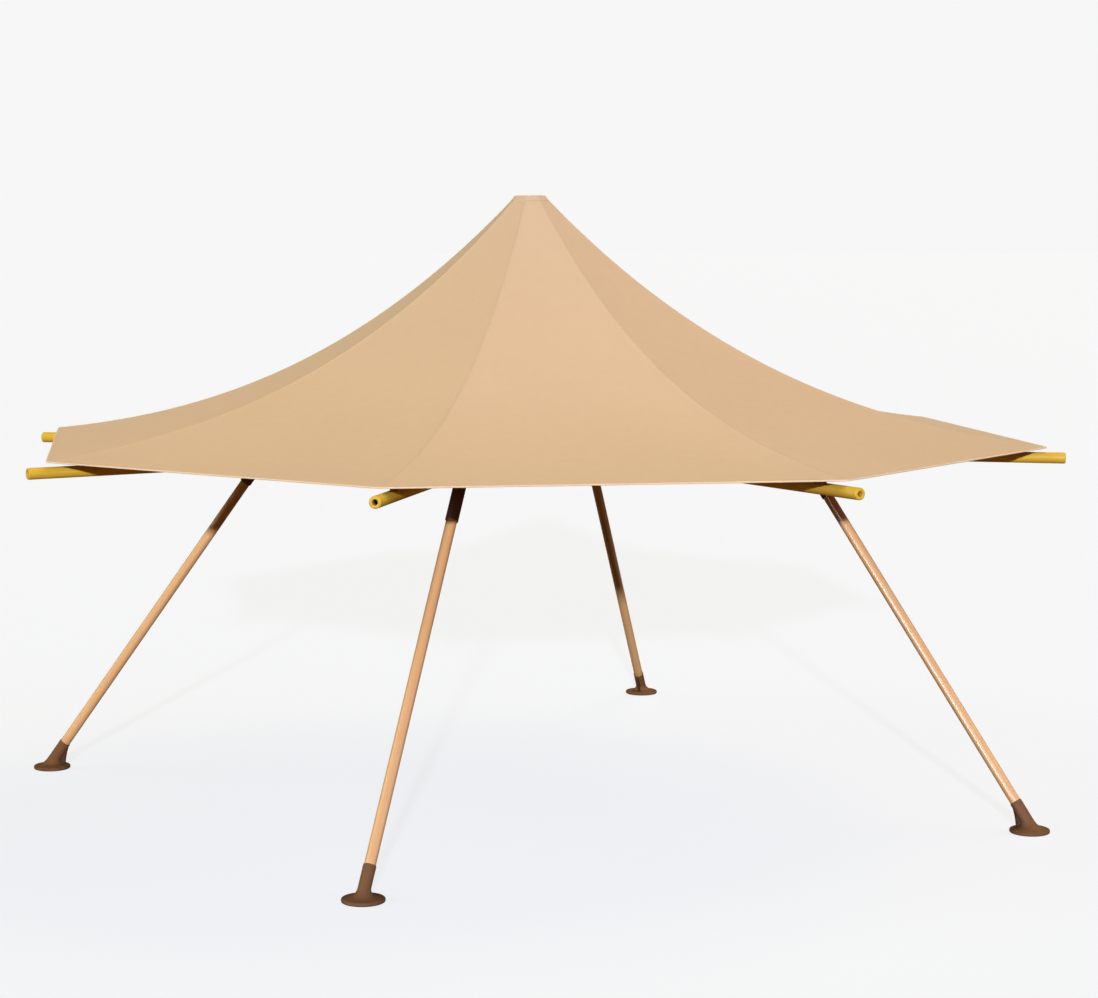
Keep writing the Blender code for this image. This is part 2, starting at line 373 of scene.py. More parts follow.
def linear(red, green, blue):
    """A display colour out of 255 as linear values."""
    values = []
    for channel in (red, green, blue):
        c = channel / 255
        values.append(c / 12.92 if c <= 0.04045 else ((c + 0.055) / 1.055) ** 2.4)
    return (*values, 1.0)


def canvas_material():
    """Beige cotton canvas: plain weave, slubs, faint mottling, doubled seams with stitches, and a
    painted highlight along the hem's lower edge.
    """
    m = Nodes("canvas")
    uv = m.node("ShaderNodeUVMap", uv_map="cloth").outputs["UV"]
    across, along, _ = m.parts(uv)
    place = m.coords()

    warp = m.maths("SINE", m.maths("MULTIPLY", across, math.tau / THREAD_PITCH))
    weft = m.maths("SINE", m.maths("MULTIPLY", along, math.tau / THREAD_PITCH))
    weave = m.maths("MULTIPLY", warp, weft)
    slub_along = m.noise(m.coords("UV", (900, 40, 1)), 1.0, 2.0)
    slub_across = m.noise(m.coords("UV", (40, 900, 1)), 1.0, 2.0)
    slubs = m.maths("ADD", slub_along, slub_across)

    broad = m.noise(place, 0.9, 4.0, 0.55)
    mottle = m.noise(place, 14.0, 5.0, 0.6)
    base = m.mix(m.spread(broad, 0.3, 0.7), linear(218, 189, 153), linear(221, 192, 156))
    tone = m.mix(m.spread(mottle, 0.35, 0.65, 0.0, 0.12), base, linear(210, 177, 138))
    tone = m.mix(m.spread(slubs, 0.8, 1.25, 0.0, 0.18), tone, linear(198, 164, 124))

    def stitch_line(from_edge, row_at, run):
        """One row of stitches at a distance from an edge."""
        row = m.maths("COMPARE", from_edge, row_at, STITCH_HALF)
        wave = m.maths("SINE", m.maths("MULTIPLY", run, math.tau / STITCH_PITCH))
        return m.maths("MULTIPLY", row, m.maths("GREATER_THAN", wave, -0.3))

    edges = m.node("ShaderNodeUVMap", uv_map="edges").outputs["UV"]
    from_ridge, from_eave, _ = m.parts(edges)
    ridge_stitch = stitch_line(from_ridge, RIDGE_STITCH_AT, along)
    hem_stitch = stitch_line(from_eave, HEM_STITCH_AT, across)
    stitches = m.maths("MAXIMUM", ridge_stitch, hem_stitch)
    tone = m.mix(m.maths("MULTIPLY", stitches, 0.55), tone, linear(170, 134, 96))
    along_seam = m.spread(from_ridge, SEAM_HALF - 0.0005, SEAM_HALF + 0.0005, 1.0, 0.0)
    along_hem = m.spread(from_eave, HEM_FOLD, HEM_FOLD + 0.002, 1.0, 0.0)
    doubled = m.maths("MAXIMUM", along_seam, along_hem)
    tone = m.mix(m.maths("MULTIPLY", doubled, 0.08), tone, linear(204, 171, 131))
    # Painted highlight: a light band along the lowest few millimetres of the hem.
    painted_hem_highlight = m.spread(from_eave, HEM_DROP + 0.001, HEM_DROP + 0.003, 0.9, 0.0)
    tone = m.mix(painted_hem_highlight, tone, linear(246, 218, 184))

    normal = m.bump(weave, 0.12, 0.0005)
    normal = m.bump(slubs, 0.25, 0.0006, normal)
    normal = m.bump(mottle, 0.1, 0.002, normal)
    normal = m.bump(stitches, 0.6, 0.0008, normal)
    rough = m.spread(mottle, 0.3, 0.7, 0.78, 0.9)
    return m.finish(
        tone, rough, normal, Specular_IOR_Level=0.25, Sheen_Weight=0.08, Sheen_Roughness=0.5
    )


def tube_material():
    """Satin yellow tube with faint drawn streaks, a slightly dusty, scuffed skin and painted shade
    deep in the bore.
    """
    m = Nodes("yellow_tube")
    streaks = m.noise(m.coords("Object", (60, 60, 1.2)), 1.0, 4.0, 0.6)
    speckle = m.noise(m.coords(), 130.0, 3.0, 0.6)
    broad = m.noise(m.coords(), 2.2, 3.0)
    base = m.mix(m.spread(broad, 0.3, 0.7), linear(227, 185, 56), linear(236, 194, 65))
    tone = m.mix(m.spread(streaks, 0.35, 0.7, 0.0, 0.5), base, linear(205, 161, 42))
    tone = m.mix(m.spread(speckle, 0.6, 0.75, 0.0, 0.35), tone, linear(178, 138, 40))
    place = m.parts(m.coords())
    # Painted shade: deeper than a few centimetres inside the bore the tube is painted nearly black.
    in_bore = m.spread(m.from_axis(place), TUBE_BORE_R + 0.001, TUBE_BORE_R + 0.0025, 1.0, 0.0)
    deep_bore_shade = m.spread(place[2], TUBE_TIP - 0.05, TUBE_TIP - 0.012, 1.0, 0.0)
    tone = m.mix(m.maths("MULTIPLY", in_bore, deep_bore_shade), tone, linear(36, 20, 6))
    normal = m.bump(streaks, 0.2, 0.0008)
    normal = m.bump(speckle, 0.15, 0.0004, normal)
    rough = m.spread(streaks, 0.3, 0.7, 0.44, 0.6)
    return m.finish(tone, rough, normal, Specular_IOR_Level=0.3)


def leg_material():
    """Satin copper-tan pole with fine lengthwise brushing and small scuffs."""
    m = Nodes("copper_tan_pole")
    brushed = m.noise(m.coords("Object", (220, 220, 1.5)), 1.0, 3.0, 0.6)
    cloudy = m.noise(m.coords("Object", (6, 6, 1.6)), 1.0, 4.0, 0.55)
    scuffs = m.noise(m.coords("Object", (90, 90, 25)), 1.0, 4.0, 0.7)
    base = m.mix(m.spread(cloudy, 0.3, 0.7), linear(235, 180, 120), linear(242, 189, 128))
    tone = m.mix(m.spread(brushed, 0.35, 0.7, 0.0, 0.5), base, linear(223, 164, 105))
    tone = m.mix(m.spread(scuffs, 0.68, 0.76, 0.0, 0.5), tone, linear(198, 140, 98))
    normal = m.bump(brushed, 0.01, 0.0004)
    normal = m.bump(scuffs, 0.006, 0.0004, normal)
    rough = m.spread(brushed, 0.3, 0.7, 0.4, 0.45)
    return m.finish(
        tone, rough, normal, Specular_IOR_Level=0.5, Coat_Weight=0.4, Coat_Roughness=0.36
    )


def moulding_material(name, shaded_rib=False):
    """Matt brown moulded plastic with a fine grain and dust near the ground; painted shade darkens
    the lowest part and the rib.
    """
    m = Nodes(name)
    grain = m.noise(m.coords(), 420.0, 2.0, 0.6)
    cloudy = m.noise(m.coords(), 9.0, 4.0, 0.6)
    height = m.parts(m.node("ShaderNodeNewGeometry").outputs["Position"])[2]
    near_floor = m.spread(height, 0.0, 0.02, 1.0, 0.0)
    floor_dust = m.maths("MULTIPLY", near_floor, m.spread(cloudy, 0.35, 0.7))
    base = m.mix(m.spread(cloudy, 0.3, 0.7), linear(115, 76, 42), linear(126, 85, 49))
    tone = m.mix(m.spread(grain, 0.35, 0.7, 0.0, 0.4), base, linear(138, 97, 61))
    # Painted shade: the lowest few centimetres, the feet's discs, are darkened.
    painted_low_shade = m.spread(height, 0.02, 0.04, 1.0, 0.0)
    tone = m.mix(m.maths("MULTIPLY", painted_low_shade, 0.3), tone, linear(92, 64, 48))
    tone = m.mix(m.maths("MULTIPLY", floor_dust, 0.2), tone, linear(140, 112, 84))
    # Painted shade: faces marked in the rib UV layer are darkened.
    if shaded_rib:
        rib_painted_shade = m.parts(m.node("ShaderNodeUVMap", uv_map="rib").outputs["UV"])[0]
        tone = m.mix(m.maths("MULTIPLY", rib_painted_shade, 0.85), tone, linear(62, 34, 18))
    normal = m.bump(grain, 0.35, 0.0005)
    rough = m.spread(grain, 0.3, 0.7, 0.58, 0.74)
    return m.finish(tone, rough, normal, Specular_IOR_Level=0.25)


def steel_material():
    """Grey coated post with a fine orange-peel skin."""
    m = Nodes("grey_post")
    peel = m.noise(m.coords(), 260.0, 3.0, 0.5)
    cloudy = m.noise(m.coords("Object", (20, 20, 2)), 1.0, 3.0)
    tone = m.mix(m.spread(cloudy, 0.3, 0.7), linear(120, 114, 106), linear(142, 136, 128))
    normal = m.bump(peel, 0.2, 0.0004)
    return m.finish(tone, m.spread(peel, 0.3, 0.7, 0.35, 0.5), normal, Metallic=0.6)


CANVAS = canvas_material()
YELLOW = tube_material()
COPPER = leg_material()
BROWN = moulding_material("brown_moulding")
FOOT_BROWN = moulding_material("brown_foot", shaded_rib=True)
GREY = steel_material()


# Canopy.


def ridge_z(r):
    """Height of the canopy's outer face on a ridge."""
    return RIDGE_LOW + RIDGE_RISE * (1 - r / RIDGE_RUN) ** RIDGE_POWER


def ridge_length(r):
    """Length of a ridge from the crown, to lay the cloth pattern out true to size."""
    steps = 24
    total = 0.0
    last = Vector((CROWN_R, ridge_z(CROWN_R)))
    for i in range(1, steps + 1):
        here = CROWN_R + (r - CROWN_R) * i / steps
        point = Vector((here, ridge_z(here)))
        total += (point - last).length
        last = point
    return total


def lane_distances():
    """Distances from a ridge to the lanes beside it, then shares of the rest of the half gore."""
    near = (0.0, 0.0035, 0.0075, SEAM_HALF, SEAM_HALF + SEAM_FADE, 0.016)
    far = tuple((i / GORE_LANES) ** 1.15 for i in range(1, GORE_LANES + 1))
    return near, far


def canopy_point(r, gore, distance, side):
    """A point on the outer face: how far from the ridge at one side of the gore."""
    half = r * math.sin(HALF_STEP)
    lateral = half - min(distance, half)
    across = lateral / half
    share = (r - CROWN_R) / (EAVE_R - CROWN_R)
    sag = GORE_SAG * math.sin(math.pi * min(max(share, 0), 1)) * (1 - across * across)
    near_corner = 1 - min(distance, CORNER_WIDTH) / CORNER_WIDTH
    near_eave = smooth((r - (EAVE_R - CORNER_REACH)) / CORNER_REACH)
    pull = CORNER_CUT * near_corner * near_eave
    radius = r - pull
    lift = SEAM_LIFT * (1 - smooth((distance - SEAM_HALF) / SEAM_FADE))
    y = side * (lateral - pull * math.sin(HALF_STEP))
    point = Vector((radius * math.cos(HALF_STEP), y, ridge_z(r) - sag + lift))
    spot = Vector((point.x * RIPPLE_SCALE, point.y * RIPPLE_SCALE + gore * 9.0, gore * 3.0))
    ripple = noise.noise(spot)
    point.z += RIPPLE * ripple * math.sin(math.pi * min(share, 1)) * (1 - across ** 4)
    return Matrix.Rotation(gore * STEP + HALF_STEP, 3, "Z") @ point


def make_canopy():
    """The whole sheet, from the crown to the rolled hem, as one mesh."""
    bm = bmesh.new()
    cloth = bm.loops.layers.uv.new("cloth")
    edges = bm.loops.layers.uv.new("edges")
    near, far = lane_distances()
    radii = []
    for i in range(GORE_ROWS + 1):
        radii.append(CROWN_R + (EAVE_R - CROWN_R) * (i / GORE_ROWS) ** 1.1)
    roll = 0.0035
    hem_shape = [(roll * math.sin(turn), roll * (1 - math.cos(turn))) for turn in (0.6, 1.1, 1.57)]
    hem_shape += [(0.0037, HEM_DROP - 0.004), (0.0032, HEM_DROP - 0.0012)]
    hem_shape += [(0.0016, HEM_DROP), (-0.002, HEM_DROP + 0.0004)]
    whole_length = ridge_length(EAVE_R)
    facts = {}
    rings = []
    for step, r in enumerate(radii + [EAVE_R] * len(hem_shape)):
        hem = step - GORE_ROWS
        out, down = (0.0, 0.0) if hem <= 0 else hem_shape[hem - 1]
        half = r * math.sin(HALF_STEP)
        spots = list(near) + [near[-1] + (half - near[-1]) * share for share in far]
        ring = []
        for gore in range(SIDES):
            outward = polar(1, gore * STEP + HALF_STEP, 0)
            left = [(d, -1) for d in spots]
            right = [(d, 1) for d in reversed(spots[1:-1])]
            for distance, side in left + right:
                point = canopy_point(r, gore, distance, side)
                point += outward * out - Vector((0, 0, down))
                vert = bm.verts.new(point)
                lateral = side * (half - min(distance, half))
                length = ridge_length(r) if hem <= 0 else whole_length + down
                from_hem = whole_length + HEM_DROP - length
                facts[vert] = (gore, lateral, length, min(distance, half), from_hem)
                ring.append(vert)
        rings.append(ring)
    rings_to_faces(bm, rings)
    for face in bm.faces:
        gores = [facts[v][0] for v in face.verts]
        middle = max(set(gores), key=gores.count)
        for loop in face.loops:
            gore, lateral, length, from_ridge, from_eave = facts[loop.vert]
            if gore != middle and abs(from_ridge) < TINY:
                lateral = -lateral
            loop[cloth].uv = (lateral + middle * PATTERN_STEP, length)
            loop[edges].uv = (from_ridge, from_eave)
    face_outwards(bm)
    nodes = [f"canopy_gore_{i}" for i in range(1, SIDES + 1)]
    canopy = add_piece("canopy", bm, CANVAS, nodes)
    thicken(canopy)


def make_crown():
    """The cap sewn over the peak: it lies on the gores and rounds over to a flat middle."""
    bm = bmesh.new()
    cloth = bm.loops.layers.uv.new("cloth")
    edges = bm.loops.layers.uv.new("edges")
    rim = ridge_z(CROWN_R)
    skirt = ((CAP_SKIRT, 0.0), (CAP_SKIRT, CAP_PROUD), (0.014, CAP_PROUD), (0.0085, 0.0038))
    profile = [(CROWN_R + reach, ridge_z(CROWN_R + reach) + proud) for reach, proud in skirt]
    profile += [
        (CROWN_R + 0.0045, rim + 0.0026),
        (CROWN_R + 0.001, rim + 0.006),
        (CROWN_R - 0.005, rim + 0.0085),
        (CROWN_R - 0.014, rim + 0.0094),
        (CROWN_R * 0.68, rim + 0.0096),
        (CROWN_R * 0.35, rim + 0.0099),
        (0.006, rim + CAP_RISE),
    ]
    rings = []
    for radius, z in profile:
        ring = []
        roundness = 0.05 + 0.5 * smooth((CROWN_R - radius) / 0.06)
        for i in range(WIDE_ROUND_COUNT):
            angle = math.tau * i / WIDE_ROUND_COUNT
            nearest = (math.floor(angle / STEP) + 0.5) * STEP
            octagon = math.cos(HALF_STEP) / math.cos(angle - nearest)
            reach = radius * (octagon * (1 - roundness) + roundness)
            ring.append(bm.verts.new(polar(reach, angle, z)))
        rings.append(ring)
    rings_to_faces(bm, rings)
    cap_ring(bm, rings[-1], (0, 0, rim + CAP_RISE))
    for face in bm.faces:
        for loop in face.loops:
            loop[cloth].uv = (loop.vert.co.x, loop.vert.co.y)
            loop[edges].uv = (0.5, 0.5)
    face_outwards(bm)
    crown = add_piece("crown_cap", bm, CANVAS, ("crown_patch",))
    thicken(crown)


# Frame.


def make_tube(index):
    """A hollow radial tube with a rounded open tip."""
    lip = 0.0085
    inner = 0.004
    profile = [(TUBE_BORE_R, TUBE_ROOT), (TUBE_R, TUBE_ROOT)]
    for i in range(1, LENGTH_STEPS):
        profile.append((TUBE_R, TUBE_ROOT + (TUBE_TIP - lip - TUBE_ROOT) * i / LENGTH_STEPS))
    profile += arc((TUBE_R - lip, TUBE_TIP - lip), lip, 0, 90, 8)
    profile += arc((TUBE_BORE_R + inner, TUBE_TIP - inner), inner, 90, 180, 5)
    profile += [(TUBE_BORE_R, TUBE_TIP - 0.4), (TUBE_BORE_R, TUBE_ROOT)]
    bm = bmesh.new()
    lathe(bm, profile, ROUND_COUNT)
    bmesh.ops.remove_doubles(bm, verts=bm.verts[:], dist=TINY)
    face_outwards(bm)
    angle = (index - 1) * STEP
    placed = direction_matrix(polar(0, 0, TUBE_Z), polar(1, angle, 0))
    add_piece(f"tube_{index}", bm, YELLOW, (f"radial_tube_{index}",), placed)


def leg_line(name):
    """Where a leg starts, where it meets its foot, and its direction."""
    bearing, joint_r, floor_r, swing = LEG_PLACES[name]
    angle = math.radians(bearing)
    top = polar(joint_r, angle, TUBE_Z)
    foot = polar(floor_r, angle + math.radians(swing), LEG_AIM_Z)
    return top, foot, (foot - top).normalized()


def make_leg(name):
    """A round pole."""
    top, foot, down = leg_line(name)
    length = (foot - top).length
    low = SOCKET_SEAT + 0.0003
    high = length - SLEEVE_SEAT - 0.0003
    profile = [(0, low), (LEG_R - 0.002, low), (LEG_R, low + 0.002)]
    for i in range(1, LENGTH_STEPS):
        profile.append((LEG_R, low + (high - low) * i / LENGTH_STEPS))
    profile += [(LEG_R, high - 0.002), (LEG_R - 0.002, high), (0, high)]
    bm = bmesh.new()
    lathe(bm, profile, ROUND_COUNT)
    face_outwards(bm)
    add_piece(f"{name}_pole", bm, COPPER, (name,), direction_matrix(top, down))


def disc_height(radius):
    """Height of the disc's upper face, flatter in the middle and lower at the rim."""
    share = min(radius / DISC_R, 1.0)
    return DISC_RIM_Z + (DISC_CROWN - DISC_RIM_Z) * (1 - share ** 2.4)


def ring_points(place):
    """Points of one closed ring of a foot from a function of the angle."""
    return [place(math.tau * i / FOOT_COUNT) for i in range(FOOT_COUNT)]


def make_foot(name):
    """A moulded foot: thick round disc flaring up into the sleeve, with a rib on its inner side."""
    _, foot, down = leg_line(name)
    up = -down
    lean = math.acos(up.z)
    inward = math.atan2(up.y, up.x)
    axis = Vector((math.sin(lean), 0, math.cos(lean)))
    side = Vector((math.cos(lean), 0, -math.sin(lean)))
    base = Vector((0, 0, LEG_AIM_Z))

    def spoke(angle):
        """A unit vector square to the sleeve."""
        return side * math.cos(angle) + Vector((0, math.sin(angle), 0))

    def on_sleeve(radius, along):
        """A ring around the sleeve."""
        return ring_points(lambda angle: base + axis * along + spoke(angle) * radius)

    def on_disc(radius, z):
        """A ring around the disc."""
        return ring_points(lambda angle: polar(radius, angle, z))

    mouth = SLEEVE_END
    bore = LEG_R + SLIDE_GAP
    mouth_depth = 0.02
    rings = [
        on_sleeve(bore, mouth - mouth_depth),
        on_sleeve(bore, mouth - 0.0012),
        on_sleeve(LEG_R + 0.0012, mouth),
        on_sleeve(SLEEVE_R - 0.0014, mouth),
        on_sleeve(SLEEVE_R - 0.0003, mouth - 0.0006),
        on_sleeve(SLEEVE_R, mouth - 0.002),
    ]
    flare_low = DISC_CROWN + 0.03
    flare_pull = 0.36

    def outboard(angle):
        """One on the side away from the rib, zero at the rib."""
        return (1 - math.cos(angle)) / 2

    def flare_start(angle):
        """How far up the sleeve the flare into the disc begins."""
        low = flare_low + 0.014 * outboard(angle)
        return (low - LEG_AIM_Z + SLEEVE_R * math.cos(angle) * math.sin(lean)) / math.cos(lean)

    def flare_point(angle, t):
        """A point on the curve from the sleeve down onto the disc."""
        start = base + axis * flare_start(angle) + spoke(angle) * SLEEVE_R
        middle = base + axis * (DISC_CROWN - LEG_AIM_Z) / math.cos(lean)
        spread = 0.032 + 0.012 * outboard(angle)
        land_x = middle.x + (SLEEVE_R / math.cos(lean) + spread) * math.cos(angle)
        land_y = (SLEEVE_R + spread) * math.sin(angle)
        end = Vector((land_x, land_y, disc_height(math.hypot(land_x, land_y))))
        outward = Vector((math.cos(angle), math.sin(angle), -0.12)).normalized()
        length = (end - start).length
        first = start - axis * length * flare_pull
        second = end - outward * length * flare_pull
        u = 1 - t
        return start * u ** 3 + first * 3 * t * u ** 2 + second * 3 * t * t * u + end * t ** 3

    def down_sleeve(angle, share):
        """A point between the mouth and the flare."""
        along = (mouth - 0.002) * (1 - share) + flare_start(angle) * share
        return base + axis * along + spoke(angle) * SLEEVE_R

    top_edge = 0.009
    low_edge = 0.007

    def over_disc(angle, share):
        """A point between the flare and the rim."""
        near = flare_point(angle, 1)
        spot = near.lerp(polar(DISC_R - top_edge, angle, 0), share)
        return Vector((spot.x, spot.y, disc_height(math.hypot(spot.x, spot.y))))

    for part in range(1, 6):
        rings.append(ring_points(lambda angle, share=part / 6: down_sleeve(angle, share)))
    for part in range(11):
        rings.append(ring_points(lambda angle, share=part / 10: flare_point(angle, share)))
    for part in range(1, 7):
        rings.append(ring_points(lambda angle, share=part / 6: over_disc(angle, share)))
    top_z = disc_height(DISC_R - top_edge)
    for radius, z in arc((DISC_R - top_edge, top_z - top_edge), top_edge, 72, 0, 4):
        rings.append(on_disc(radius, z))
    for turned in (0, -25, -50, -75, -90):
        drop = math.radians(turned)
        radius = DISC_R - low_edge + low_edge * math.cos(drop)
        rings.append(on_disc(radius, low_edge + low_edge * math.sin(drop)))
    bm = bmesh.new()
    made = [[bm.verts.new(point) for point in ring] for ring in rings]
    rings_to_faces(bm, made)
    cap_ring(bm, made[-1], (0, 0, 0))
    cap_ring(bm, made[0], base + axis * (mouth - mouth_depth))
    shell = set(bm.faces)
    add_rib(bm, base, axis, side)
    face_outwards(bm)
    # The rib UV layer marks the rib's faces for the painted shade in the foot's material.
    rib = bm.loops.layers.uv.new("rib")
    for face in bm.faces:
        for loop in face.loops:
            loop[rib].uv = (0, 0) if face in shell else (1, 0)
    placed = Matrix.Translation((foot.x, foot.y, 0)) @ Matrix.Rotation(inward, 4, "Z")
    add_piece(f"{name}_shoe", bm, FOOT_BROWN, (f"{name}_foot",), placed)


def add_rib(bm, base, axis, side):
    """The triangular rib, with rounded long edges, on the acute side of the sleeve."""
    crest = base + axis * (RIB_TOP + 0.004) + side * (SLEEVE_R - 0.002)
    toe = Vector((RIB_REACH, 0, disc_height(RIB_REACH) - 0.002))
    neck = base + axis * (RIB_TOP - 0.04)
    root = Vector((0.01, 0, 0.012))
    half = RIB_T / 2
    rounding = ((0.45, 0.0003), (0.8, 0.0014), (1, 0.004))
    edge_shape = [(-half * share, depth) for share, depth in reversed(rounding)]
    edge_shape += [(0, 0)] + [(half * share, depth) for share, depth in rounding]
    sections = []
    for part in range(13):
        t = part / 12
        edge = crest.lerp(toe, t)
        edge.x -= 0.004 * math.sin(math.pi * t)
        back = neck.lerp(root, t)
        toward = (back - edge).normalized()
        section = [Vector((back.x, -half, back.z))]
        for offset, depth in edge_shape:
            point = edge + toward * depth
            section.append(Vector((point.x, offset, point.z)))
        section.append(Vector((back.x, half, back.z)))
        sections.append(section)
    made = [[bm.verts.new(point) for point in section] for section in sections]
    rings_to_faces(bm, made)
    bm.faces.new(made[0])
    bm.faces.new(list(reversed(made[-1])))


def make_bracket(name):
    """Collar around the tube and the socket that takes the leg."""
    top, _, down = leg_line(name)
    bearing = math.radians(LEG_PLACES[name][0])
    collar_frame = direction_matrix(top, polar(1, bearing, 0))
    leg_frame = direction_matrix(top, down)
    bm = bmesh.new()
    half = COLLAR_HALF
    inside = TUBE_R + 0.0006
    bevel = 0.002
    edge = 0.004
    profile = [(inside, -half + bevel), (inside + bevel, -half)]
    profile += arc((COLLAR_R - edge, -half + edge), edge, -90, 0, 4)
    profile += arc((COLLAR_R - edge, half - edge), edge, 0, 90, 4)
    profile += [(inside + bevel, half), (inside, half - bevel), (inside, -half + bevel)]
    lathe(bm, profile, ROUND_COUNT, collar_frame)
    bore = LEG_R + SLIDE_GAP
    start = 0.04
    depth = 0.03
    lip = 0.003
    profile = [(SOCKET_R - 0.005, start), (SOCKET_R, start)]
    profile += [(SOCKET_R, SOCKET_END - depth), (SOCKET_R, SOCKET_END - 0.008)]
    profile += arc((SOCKET_R - lip, SOCKET_END - lip), lip, 0, 90, 4)
    profile += [(LEG_R + bevel, SOCKET_END), (bore, SOCKET_END - 0.0016), (bore, SOCKET_END - depth)]
    lathe(bm, profile, ROUND_COUNT, leg_frame)
    bmesh.ops.remove_doubles(bm, verts=bm.verts[:], dist=TINY)
    face_outwards(bm)
    add_piece(f"{name}_collar", bm, BROWN, (f"{name}_bracket",))


def make_hub():
    """The hub with its neck and eight sleeves for the tubes."""
    bm = bmesh.new()
    half, edge, fillet = HUB_HALF, HUB_EDGE, HUB_NECK_FILLET
    brim = 0.004
    profile = [(0, HUB_NECK_TOP), (HUB_NECK_R - brim, HUB_NECK_TOP)]
    profile += arc((HUB_NECK_R - brim, HUB_NECK_TOP - brim), brim, 90, 0, 4)
    profile += arc((HUB_NECK_R + fillet, half + fillet), fillet, 180, 270, 8)
    profile += arc((HUB_R - edge, half - edge), edge, 90, 0, 8)
    profile += arc((HUB_R - edge, edge - half), edge, 0, -90, 8)
    profile += [(0.06, -half), (0.05, -half - 0.004), (0, -half - 0.006)]
    lathe(bm, profile, WIDE_ROUND_COUNT, Matrix.Translation((0, 0, TUBE_Z)))
    end, lip, bore = HUB_SLEEVE_END, 0.002, TUBE_R + 0.0005
    profile = [(HUB_SLEEVE_R, HUB_SLEEVE_START), (HUB_SLEEVE_R, end - 0.024)]
    profile += [(HUB_SLEEVE_LIP_R, end - 0.021)]
    profile += arc((HUB_SLEEVE_LIP_R - lip, end - lip), lip, 0, 90, 4)
    profile += [(TUBE_R + lip, end), (bore, end - 0.0015), (bore, end - 0.03)]
    for i in range(SIDES):
        placed = direction_matrix(polar(0, 0, TUBE_Z), polar(1, i * STEP, 0))
        lathe(bm, profile, 48, placed)
    face_outwards(bm)
    add_piece("hub", bm, BROWN, ("centre_hub",))


def make_plate(top):
    """The plate under the crown with a socket for the post."""
    edge = 0.003
    fillet = 0.018
    bore = POST_R + 0.0005
    end = top - PLATE_SOCKET_END
    profile = [(0, top)]
    profile += arc((PLATE_R - edge, top - edge), edge, 90, 0, 4)
    profile += [(PLATE_R, top - 0.0145), (PLATE_R - 0.002, top - 0.0165)]
    profile += arc((PLATE_SOCKET_R + fillet, top - 0.0345), fillet, 90, 180, 6)
    profile += [(PLATE_SOCKET_R, end + 0.002), (PLATE_SOCKET_R - 0.002, end)]
    profile += [(bore + 0.001, end), (bore, end + 0.002), (bore, end + 0.03)]
    bm = bmesh.new()
    lathe(bm, profile, WIDE_ROUND_COUNT)
    face_outwards(bm)
    add_piece("crown_support", bm, BROWN, ("crown_plate",))


def make_post(top):
    """The post from the hub into the plate's socket."""
    low = TUBE_Z + POST_SEAT
    high = top - 0.0323
    rise = [(POST_R, low + (high - low) * i / 8) for i in range(9)]
    bm = bmesh.new()
    lathe(bm, [(0, low)] + rise + [(0, high)], ROUND_COUNT)
    face_outwards(bm)
    add_piece("centre_post", bm, GREY, ("king_post",))


make_hub()
plate_top = ridge_z(CROWN_R) - PLATE_DROP
make_plate(plate_top)
make_post(plate_top)
for number in range(1, SIDES + 1):
    make_tube(number)
for leg in LEG_PLACES:
    make_leg(leg)
    make_foot(leg)
    make_bracket(leg)
make_canopy()
make_crown()
for number in range(1, SIDES + 1):
    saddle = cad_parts[f"corner_saddle_{number}"]
    saddle.data.materials.clear()
    saddle.data.materials.append(BROWN)


# Stage.


def plain_material(name, colour, roughness):
    """A stage surface."""
    m = Nodes(name)
    speck = m.noise(m.coords(), 3.0, 2.0)
    tone = m.mix(m.spread(speck, 0.3, 0.7), colour, tuple(min(c * 1.01, 1.0) for c in colour))
    return m.finish(tone, roughness)


def stage_object(name, bm, material):
    """A surface that sends no light back onto the tent."""
    mesh = bpy.data.meshes.new(name)
    bm.to_mesh(mesh)
    bm.free()
    mesh.materials.append(material)
    obj = bpy.data.objects.new(name, mesh)
    obj.visible_diffuse = False
    obj.visible_glossy = False
    bpy.context.scene.collection.objects.link(obj)
    return obj


def backdrop_material():
    """Even pale light behind the tent."""
    material = bpy.data.materials.new("backdrop")
    material.use_nodes = True
    tree = material.node_tree
    tree.nodes.clear()
    glow = tree.nodes.new("ShaderNodeEmission")
    glow.inputs["Strength"].default_value = BACKDROP_LIGHT
    out = tree.nodes.new("ShaderNodeOutputMaterial")
    tree.links.new(glow.outputs[0], out.inputs["Surface"])
    return material


def bounce_material():
    """Ground that is dark under the canopy and sends warm light up around it."""
    m = Nodes("ground_bounce")
    from_middle = m.from_axis(m.parts(m.coords()))
    strength = m.spread(from_middle, BOUNCE_FROM, BOUNCE_FULL, 0.0, BOUNCE_LIGHT)
    m.link(strength, m.shader.inputs["Emission Strength"])
    m.shader.inputs["Emission Color"].default_value = BOUNCE_COLOUR
    m.shader.inputs["Base Color"].default_value = (0.0, 0.0, 0.0, 1.0)
    return m.material


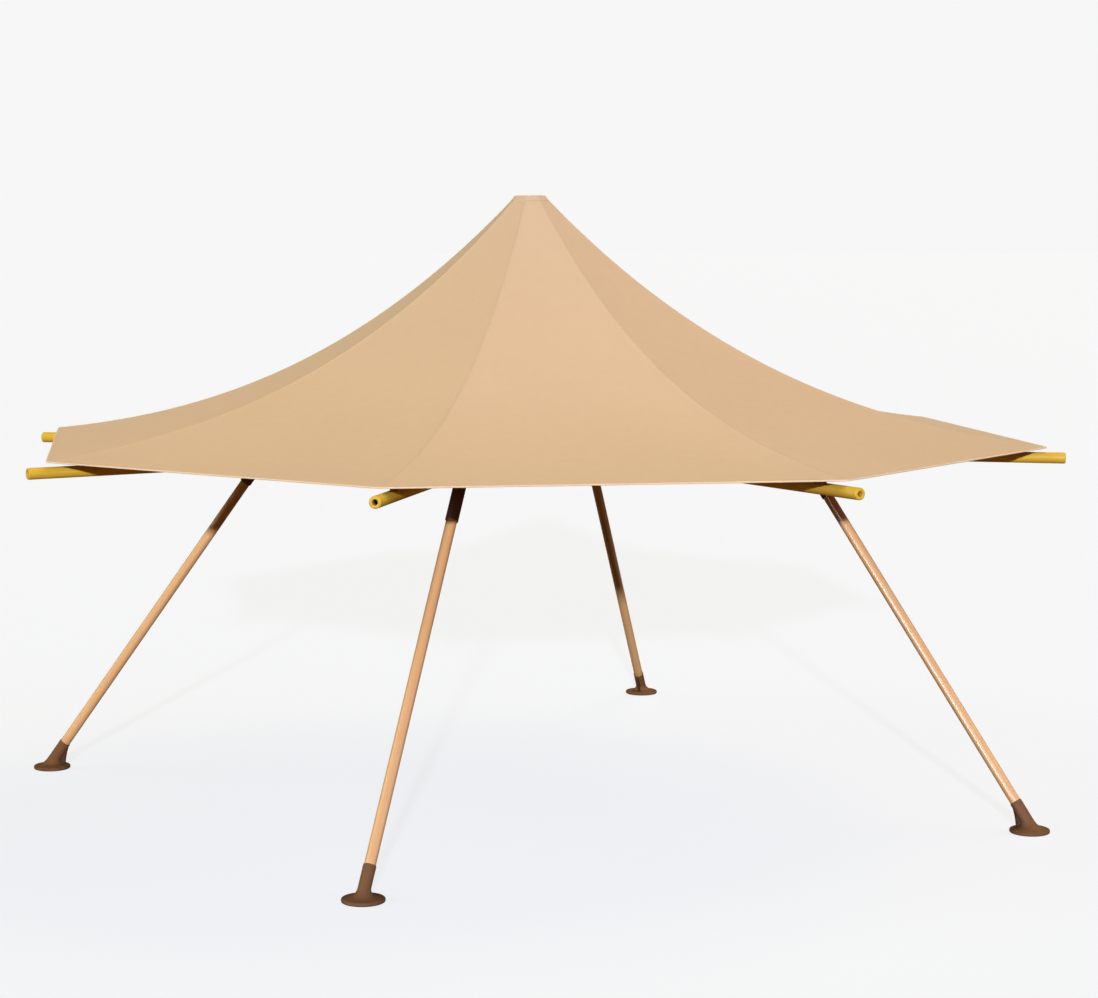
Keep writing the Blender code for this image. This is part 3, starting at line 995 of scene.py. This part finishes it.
ground = bmesh.new()
bmesh.ops.create_grid(ground, x_segments=1, y_segments=1, size=FLOOR_HALF)
pale = plain_material("pale_floor", FLOOR_TONE, 0.9)
shader = pale.node_tree.nodes["Principled BSDF"]
shader.inputs["Emission Color"].default_value = FLOOR_LIGHT
shader.inputs["Emission Strength"].default_value = 1.0
floor = stage_object("floor", ground, pale)
floor.location.z = -0.001
card = bmesh.new()
bmesh.ops.create_grid(card, x_segments=1, y_segments=1, size=BOUNCE_HALF)
bounce = stage_object("ground_bounce", card, bounce_material())
bounce.location.z = -0.004
bounce.visible_diffuse = True
bounce.visible_camera = False
ball = bmesh.new()
bmesh.ops.create_uvsphere(ball, u_segments=64, v_segments=32, radius=BACKDROP_R)
backdrop = stage_object("backdrop", ball, backdrop_material())
backdrop.visible_shadow = False

world = bpy.data.worlds.new("studio")
bpy.context.scene.world = world
world.use_nodes = True
sky = world.node_tree.nodes["Background"]
sky.inputs["Color"].default_value = WORLD_COLOUR
sky.inputs["Strength"].default_value = WORLD_LIGHT


def add_sun(name, bearing, elevation, strength, width, colour):
    """A distant light from a bearing, anticlockwise from +X, and an elevation in degrees."""
    data = bpy.data.lights.new(name, "SUN")
    data.energy = strength
    data.angle = math.radians(width)
    data.color = colour
    obj = bpy.data.objects.new(name, data)
    bpy.context.scene.collection.objects.link(obj)
    flat = math.cos(math.radians(elevation))
    toward = polar(flat, math.radians(bearing), math.sin(math.radians(elevation)))
    obj.rotation_mode = "QUATERNION"
    obj.rotation_quaternion = toward.to_track_quat("Z", "Y")


for light in LIGHTS:
    add_sun(*light)


def add_glint():
    """A soft spotlight that only gives the right leg its streak of gloss."""
    data = bpy.data.lights.new("glint", "SPOT")
    data.energy = GLINT_POWER
    data.spot_size = math.radians(GLINT_CONE)
    data.spot_blend = 0.3
    data.shadow_soft_size = GLINT_SIZE
    obj = bpy.data.objects.new("glint", data)
    bpy.context.scene.collection.objects.link(obj)
    rise = math.radians(GLINT_RISE)
    toward = polar(math.cos(rise), math.radians(GLINT_BEARING), math.sin(rise))
    obj.location = Vector(GLINT_AIM) + toward * GLINT_AWAY
    obj.rotation_mode = "QUATERNION"
    obj.rotation_quaternion = toward.to_track_quat("Z", "Y")
    obj.visible_diffuse = False


add_glint()

camera_data = bpy.data.cameras.new("camera")
camera_data.sensor_width = 36
camera_data.lens = LENS_MM
camera_data.clip_end = 500
camera = bpy.data.objects.new("camera", camera_data)
camera.location = CAMERA_AT
camera.rotation_euler = [math.radians(a) for a in CAMERA_TURN]
bpy.context.scene.collection.objects.link(camera)
bpy.context.scene.camera = camera
bpy.context.scene.view_settings.view_transform = "Standard"
